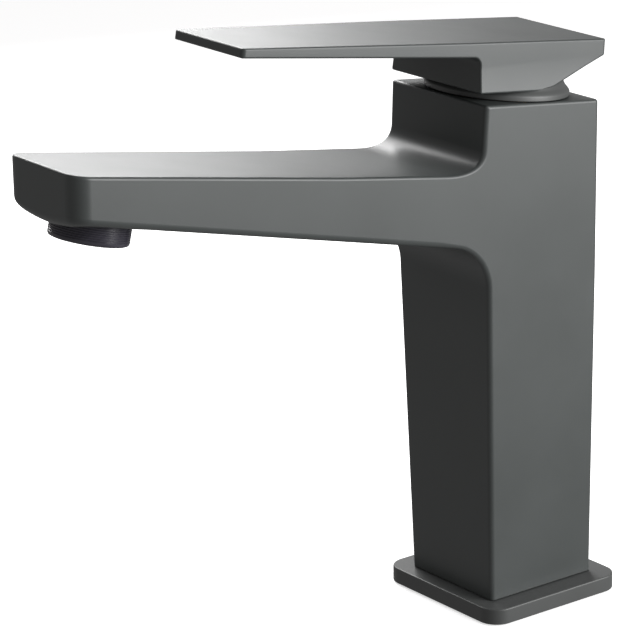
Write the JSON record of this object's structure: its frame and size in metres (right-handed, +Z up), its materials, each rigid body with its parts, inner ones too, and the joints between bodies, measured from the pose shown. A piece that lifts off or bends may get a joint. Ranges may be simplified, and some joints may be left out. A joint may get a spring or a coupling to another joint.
{
  "type": "single-lever basin mixer tap",
  "caption": "Black single-lever basin mixer: tapered square column on a square plate, long flat spout with an aerator, and a paddle lever on a tilted ceramic cartridge.",
  "frame": {"origin": "on the column's axis, in the plane of the deck that the tap stands on", "axes": "+Z up, -Y along the spout towards the user; the tap is symmetric about X = 0, with the cold side at +X"},
  "size_m": [0.05, 0.1842, 0.1824],
  "materials": {
    "black_coat": "satin black coat",
    "dark_plastic": "satin dark plastic",
    "raw_brass": "machined",
    "cartridge_plastic": "moulded",
    "stainless": "turned",
    "ceramic": "lapped",
    "rubber": "matte"
  },
  "bodies": {
    "tap_body": {"body": "black_coat", "base_plate": "black_coat", "base_seal": "rubber", "cartridge_nut": "raw_brass", "cartridge_housing": "cartridge_plastic", "fixed_disc": "ceramic", "cartridge_base": "cartridge_plastic", "cold_seal": "rubber", "hot_seal": "rubber", "outlet_seal": "rubber", "collar": "black_coat", "collar_ring": "rubber", "aerator_sleeve": "dark_plastic", "aerator_insert": "dark_plastic", "aerator_mesh": "stainless", "aerator_washer": "rubber"},
    "swivel": {"swivel_rotor": "cartridge_plastic", "stem_pin": "stainless"},
    "lever": {"lever_handle": "black_coat", "lever_stem": "stainless", "grub_screw": "stainless", "screw_plug": "rubber"},
    "slider": {"disc_carrier": "cartridge_plastic", "moving_disc": "ceramic"}
  },
  "joints": [
    {"name": "lever_swivel", "type": "hinge", "parent": "tap_body", "child": "swivel", "pos_m": [0, -0.0039, 0.15299], "axis": [0, 0.1106, 0.9939], "range_deg": [-45, 45]},
    {"name": "lever_lift", "type": "hinge", "parent": "swivel", "child": "lever", "pos_m": [0, -0.00456, 0.14702], "axis": [-1, 0, 0], "range_deg": [0, 22]},
    {"name": "disc_slide", "type": "slide", "parent": "swivel", "child": "slider", "axis": [0, -0.9939, 0.1106], "range_m": [0, 0.0034]}
  ],
  "couplings": [
    {"joint": "disc_slide", "follows": "lever_lift", "m_per_rad": 0.0082}
  ]
}
